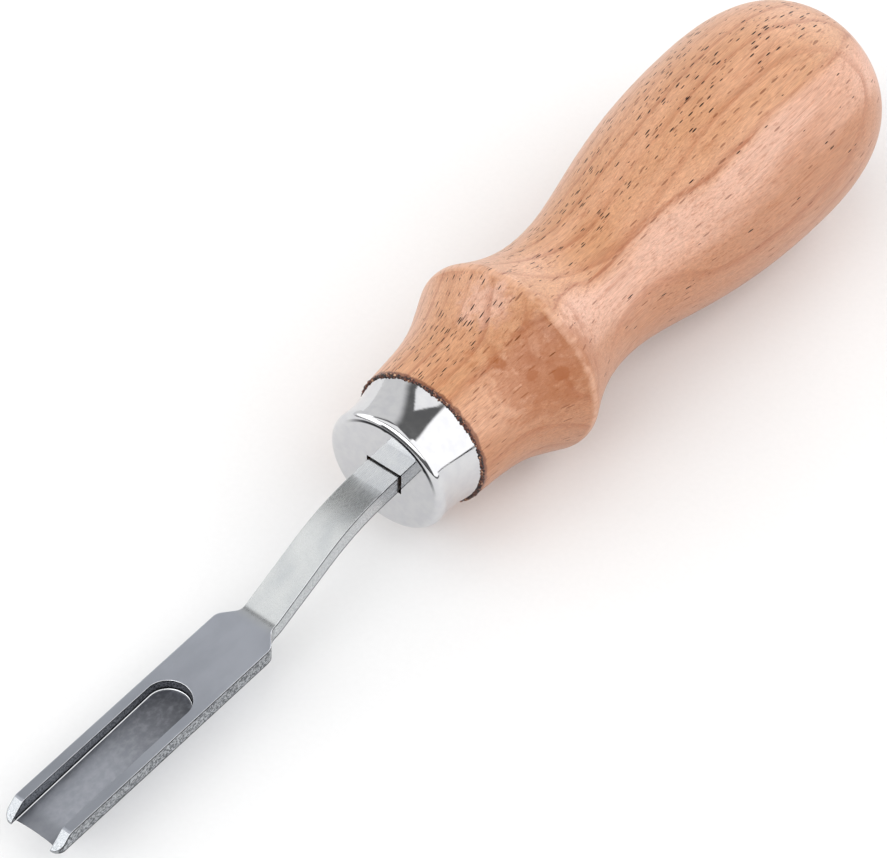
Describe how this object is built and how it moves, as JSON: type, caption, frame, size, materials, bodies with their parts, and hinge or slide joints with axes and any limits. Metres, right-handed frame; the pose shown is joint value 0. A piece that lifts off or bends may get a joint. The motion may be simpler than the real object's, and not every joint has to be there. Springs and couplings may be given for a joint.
{
  "type": "edge beveler",
  "caption": "Hand tool for bevelling leather edges: flat channelled steel head on a bent shank, drawn ferrule, and a turned wooden handle.",
  "frame": {"origin": "on the handle's axis, in the plane of the ferrule's flat front face, where the blade's shank leaves the handle", "axes": "+Y along the handle's axis to the butt, -Y to the cutting edge; +Z on the side that the head's channel opens towards; X across the head, which is symmetric about x = 0"},
  "size_m": [0.0328, 0.1742, 0.0328],
  "materials": {
    "beech": "satin lacquer",
    "chromed_steel": "bright plated",
    "blade_steel": "ground and part polished",
    "epoxy": "cured adhesive"
  },
  "bodies": {
    "root": {"handle": "beech", "ferrule": "chromed_steel", "blade": "blade_steel", "tang_adhesive": "epoxy"}
  },
  "joints": []
}
